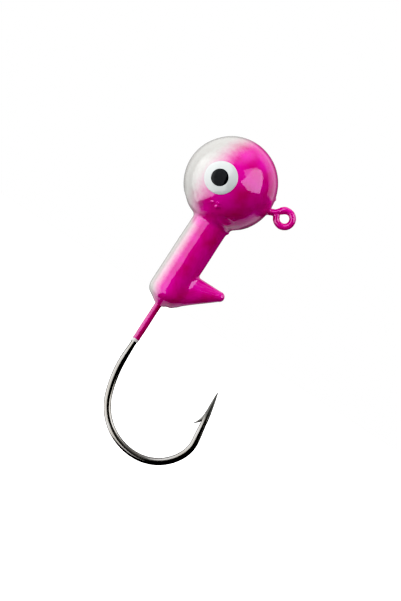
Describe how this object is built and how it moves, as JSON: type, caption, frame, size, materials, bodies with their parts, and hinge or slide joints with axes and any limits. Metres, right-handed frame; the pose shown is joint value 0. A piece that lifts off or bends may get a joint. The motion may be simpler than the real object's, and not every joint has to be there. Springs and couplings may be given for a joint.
{
  "type": "jig head",
  "caption": "Ball jig head for soft baits: painted lead ball with eyes, a collar with a keeper barb, and a light-wire jig hook with a closed line tie.",
  "frame": {"origin": "centre of the line-tie ring's hole, in the hook's plane", "axes": "+Z along the shank from the bend towards the ball's nose, +X from the shank towards the hook point (the side that rides up), +Y through the line-tie ring, across the hook's plane"},
  "size_m": [0.017, 0.0102, 0.035],
  "materials": {
    "hook_steel": "polished black nickel",
    "lead": "as cast, hidden under paint",
    "base_paint": "gloss, pearl white",
    "colour_paint": "gloss, hot pink, airbrushed edge",
    "eye_white": "gloss",
    "eye_black": "gloss"
  },
  "bodies": {
    "root": {"hook_wire": "hook_steel", "lead_head": "lead", "head_base_coat": "base_paint", "head_colour_coat": "colour_paint", "line_tie_base_coat": "base_paint", "line_tie_colour_coat": "colour_paint", "shank_base_coat": "base_paint", "shank_colour_coat": "colour_paint", "left_eye_white": "eye_white", "left_eye_pupil": "eye_black", "right_eye_white": "eye_white", "right_eye_pupil": "eye_black"}
  },
  "joints": []
}
